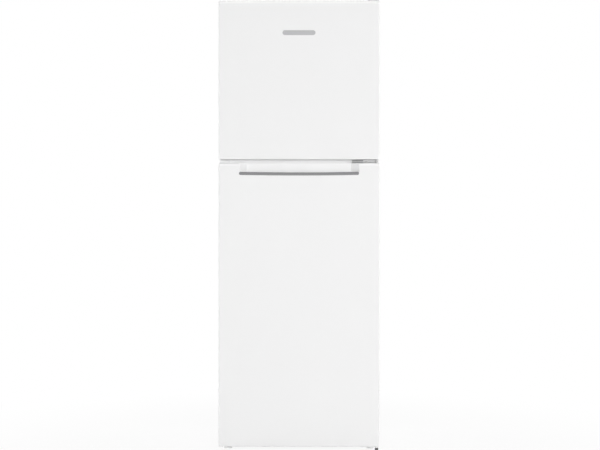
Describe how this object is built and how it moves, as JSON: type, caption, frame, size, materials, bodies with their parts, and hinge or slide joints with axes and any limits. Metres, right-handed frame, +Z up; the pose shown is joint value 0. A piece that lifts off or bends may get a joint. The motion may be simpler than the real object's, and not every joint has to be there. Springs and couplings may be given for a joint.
{
  "type": "top freezer refrigerator",
  "caption": "Free-standing white refrigerator with a freezer above, doors hung on the right and a shared finger grip between them.",
  "frame": {"origin": "middle of the footprint, on the floor", "axes": "+X to the right of someone facing the doors, -Y out of the doors, +Z up"},
  "size_m": [0.545, 0.5672, 1.5565],
  "materials": {
    "white_paint": "gloss",
    "white_caps": "satin",
    "white_liner": "gloss",
    "galvanised_steel": "satin",
    "dark_steel": "satin",
    "insulation_foam": "matte",
    "seal_vinyl": "matte",
    "clear_plastic": "gloss",
    "shelf_glass": "gloss",
    "shelf_trim": "satin",
    "handle_grey": "satin",
    "pale_grey_plastic": "matte",
    "black_plastic": "matte",
    "black_rubber": "matte",
    "black_enamel": "satin",
    "copper": "satin",
    "evaporator_aluminium": "satin"
  },
  "bodies": {
    "cabinet": {"left_side_panel": "white_paint", "right_side_panel": "white_paint", "top_panel": "white_paint", "mullion_rail": "white_paint", "freezer_shelf": "white_paint", "top_hinge_cover": "white_caps", "control_housing": "white_caps", "fridge_liner": "white_liner", "freezer_liner": "white_liner", "back_panel": "galvanised_steel", "base_pan": "galvanised_steel", "compressor_deck": "galvanised_steel", "top_hinge": "galvanised_steel", "middle_hinge": "galvanised_steel", "bottom_hinge": "galvanised_steel", "cabinet_screws": "galvanised_steel", "hinge_pins": "dark_steel", "cabinet_foam": "insulation_foam", "lamp_cover": "clear_plastic", "upper_shelf_glass": "shelf_glass", "lower_shelf_glass": "shelf_glass", "crisper_cover_glass": "shelf_glass", "shelf_trims": "shelf_trim", "condenser_clips": "pale_grey_plastic", "drain_tube": "pale_grey_plastic", "evaporation_tray": "pale_grey_plastic", "relay_cover": "black_plastic", "thermostat": "black_plastic", "compressor_grommets": "black_rubber", "lead_gland": "black_rubber", "compressor": "black_enamel", "condenser_tube": "black_enamel", "condenser_wires": "black_enamel", "copper_tubes": "copper", "evaporator": "evaporator_aluminium"},
    "freezer_door": {"freezer_door_skin": "white_paint", "freezer_door_top_cap": "white_caps", "freezer_door_bottom_cap": "white_caps", "freezer_door_foam": "insulation_foam", "freezer_door_liner": "white_liner", "freezer_door_seal": "seal_vinyl", "freezer_bin_lower": "clear_plastic", "freezer_bin_upper": "clear_plastic"},
    "fridge_door": {"fridge_door_skin": "white_paint", "fridge_door_top_cap": "white_caps", "fridge_door_bottom_cap": "white_caps", "fridge_door_foam": "insulation_foam", "fridge_door_liner": "white_liner", "fridge_door_seal": "seal_vinyl", "handle_bar": "handle_grey", "fridge_bin_bottle": "clear_plastic", "fridge_bin_middle": "clear_plastic", "fridge_bin_upper": "clear_plastic"},
    "thermostat_knob": {"thermostat_knob": "pale_grey_plastic"},
    "crisper_drawer": {"crisper_drawer": "clear_plastic"},
    "front_foot_left": {"front_foot_left": "pale_grey_plastic"},
    "front_foot_right": {"front_foot_right": "pale_grey_plastic"},
    "rear_roller_left": {"rear_roller_left": "black_plastic"},
    "rear_roller_right": {"rear_roller_right": "black_plastic"}
  },
  "joints": [
    {"name": "freezer_door_swing", "type": "hinge", "parent": "cabinet", "child": "freezer_door", "pos_m": [0.2635, -0.25757, 1], "axis": [0, 0, 1], "range_deg": [0, 130]},
    {"name": "fridge_door_swing", "type": "hinge", "parent": "cabinet", "child": "fridge_door", "pos_m": [0.2635, -0.25757, 0.028], "axis": [0, 0, 1], "range_deg": [0, 130]},
    {"name": "thermostat_knob_turn", "type": "hinge", "parent": "cabinet", "child": "thermostat_knob", "pos_m": [0.055, -0.12457, 0.94], "axis": [0, -1, 0], "range_deg": [-135, 135]},
    {"name": "crisper_slide", "type": "slide", "parent": "cabinet", "child": "crisper_drawer", "axis": [0, -1, 0], "range_m": [0, 0.03]},
    {"name": "front_foot_left_turn", "type": "hinge", "parent": "cabinet", "child": "front_foot_left", "pos_m": [-0.2475, -0.13257, 0], "axis": [0, 0, 1], "continuous": true},
    {"name": "front_foot_right_turn", "type": "hinge", "parent": "cabinet", "child": "front_foot_right", "pos_m": [0.2475, -0.13257, 0], "axis": [0, 0, 1], "continuous": true},
    {"name": "rear_roller_left_spin", "type": "hinge", "parent": "cabinet", "child": "rear_roller_left", "pos_m": [-0.2275, 0.20943, 0.017], "axis": [1, 0, 0], "continuous": true},
    {"name": "rear_roller_right_spin", "type": "hinge", "parent": "cabinet", "child": "rear_roller_right", "pos_m": [0.2275, 0.20943, 0.017], "axis": [1, 0, 0], "continuous": true}
  ]
}
